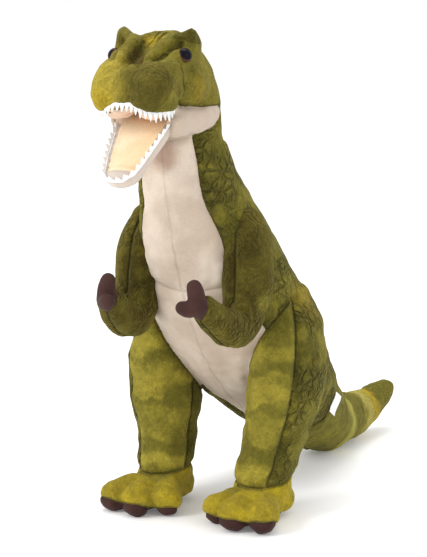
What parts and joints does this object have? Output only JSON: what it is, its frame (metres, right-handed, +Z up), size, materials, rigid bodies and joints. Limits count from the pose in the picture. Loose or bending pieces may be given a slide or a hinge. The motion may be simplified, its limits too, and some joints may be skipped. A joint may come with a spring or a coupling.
{
  "type": "plush dinosaur",
  "caption": "Standing stuffed dinosaur with an open toothed mouth, short arms, padded legs on flat soles and a thick tail that rests on the floor.",
  "frame": {"origin": "on the floor, under the middle of the toy's bounding box", "axes": "+X is the toy's own left, -Y is its front, +Y runs along the tail, +Z is up"},
  "size_m": [0.202, 0.571, 0.4603],
  "materials": {
    "olive_pile": "short pile, airbrushed",
    "light_pile": "short pile, airbrushed",
    "dark_pile": "short pile, airbrushed",
    "greige_velboa": "smooth velboa",
    "mouth_lining": "smooth velboa",
    "tooth_felt": "felt",
    "brown_pile": "smooth velboa",
    "eye_plastic": "glossy",
    "washer_plastic": "matte",
    "fibre_filling": "loose fibre",
    "ribbon": "satin ribbon"
  },
  "bodies": {
    "torso": {"trunk_skin_left": "olive_pile", "trunk_skin_right": "olive_pile", "chest_panel_left": "greige_velboa", "chest_panel_right": "greige_velboa", "belly_panel_left": "greige_velboa", "belly_panel_right": "greige_velboa", "trunk_filling": "fibre_filling", "ribbon_label": "ribbon", "thigh_front_left": "light_pile", "thigh_outer_left": "dark_pile", "thigh_inner_left": "dark_pile", "thigh_filling_left": "fibre_filling", "thigh_front_right": "light_pile", "thigh_outer_right": "dark_pile", "thigh_inner_right": "dark_pile", "thigh_filling_right": "fibre_filling"},
    "head": {"head_skin_left": "olive_pile", "head_skin_right": "olive_pile", "snout_pad_left": "light_pile", "snout_pad_right": "light_pile", "brow_horn_left": "dark_pile", "brow_horn_right": "dark_pile", "eye_left": "eye_plastic", "eye_right": "eye_plastic", "eye_washer_left": "washer_plastic", "eye_washer_right": "washer_plastic", "upper_teeth": "tooth_felt", "palate_lining": "mouth_lining", "head_filling": "fibre_filling", "neck_skin": "olive_pile", "throat_panel": "greige_velboa", "neck_filling": "fibre_filling"},
    "jaw": {"jaw_skin": "greige_velboa", "jaw_lining": "mouth_lining", "lower_teeth": "tooth_felt", "jaw_filling": "fibre_filling"},
    "arm_left": {"arm_outer_left": "olive_pile", "arm_inner_left": "dark_pile", "hand_left": "brown_pile", "arm_filling_left": "fibre_filling"},
    "arm_right": {"arm_outer_right": "olive_pile", "arm_inner_right": "dark_pile", "hand_right": "brown_pile", "arm_filling_right": "fibre_filling"},
    "leg_left": {"leg_front_left": "light_pile", "leg_outer_left": "dark_pile", "leg_inner_left": "dark_pile", "foot_left": "light_pile", "sole_left": "brown_pile", "leg_filling_left": "fibre_filling"},
    "leg_right": {"leg_front_right": "light_pile", "leg_outer_right": "dark_pile", "leg_inner_right": "dark_pile", "foot_right": "light_pile", "sole_right": "brown_pile", "leg_filling_right": "fibre_filling"},
    "tail": {"tail_skin_left": "olive_pile", "tail_skin_right": "olive_pile", "tail_filling": "fibre_filling"}
  },
  "joints": [
    {"name": "neck_nod", "type": "hinge", "parent": "torso", "child": "head", "pos_m": [0, -0.1717, 0.372], "axis": [1, 0, 0], "range_deg": [-8, 8], "stiffness_Nm_per_rad": 3},
    {"name": "jaw_open", "type": "hinge", "parent": "head", "child": "jaw", "pos_m": [0, -0.2217, 0.373], "axis": [1, 0, 0], "range_deg": [-18, 6], "stiffness_Nm_per_rad": 0.6},
    {"name": "shoulder_left", "type": "hinge", "parent": "torso", "child": "arm_left", "pos_m": [0, -0.1437, 0.268], "axis": [1, 0, 0], "range_deg": [-14, 8], "stiffness_Nm_per_rad": 0.6},
    {"name": "shoulder_right", "type": "hinge", "parent": "torso", "child": "arm_right", "pos_m": [0, -0.1437, 0.268], "axis": [1, 0, 0], "range_deg": [-14, 8], "stiffness_Nm_per_rad": 0.6},
    {"name": "leg_left_bend", "type": "hinge", "parent": "torso", "child": "leg_left", "pos_m": [0, -0.0937, 0.075], "axis": [1, 0, 0], "range_deg": [-8, 8], "stiffness_Nm_per_rad": 14},
    {"name": "leg_right_bend", "type": "hinge", "parent": "torso", "child": "leg_right", "pos_m": [0, -0.0937, 0.075], "axis": [1, 0, 0], "range_deg": [-8, 8], "stiffness_Nm_per_rad": 14},
    {"name": "tail_lift", "type": "hinge", "parent": "torso", "child": "tail", "pos_m": [0, 0.0843, 0.068], "axis": [1, 0, 0], "range_deg": [-2, 12], "stiffness_Nm_per_rad": 7}
  ]
}
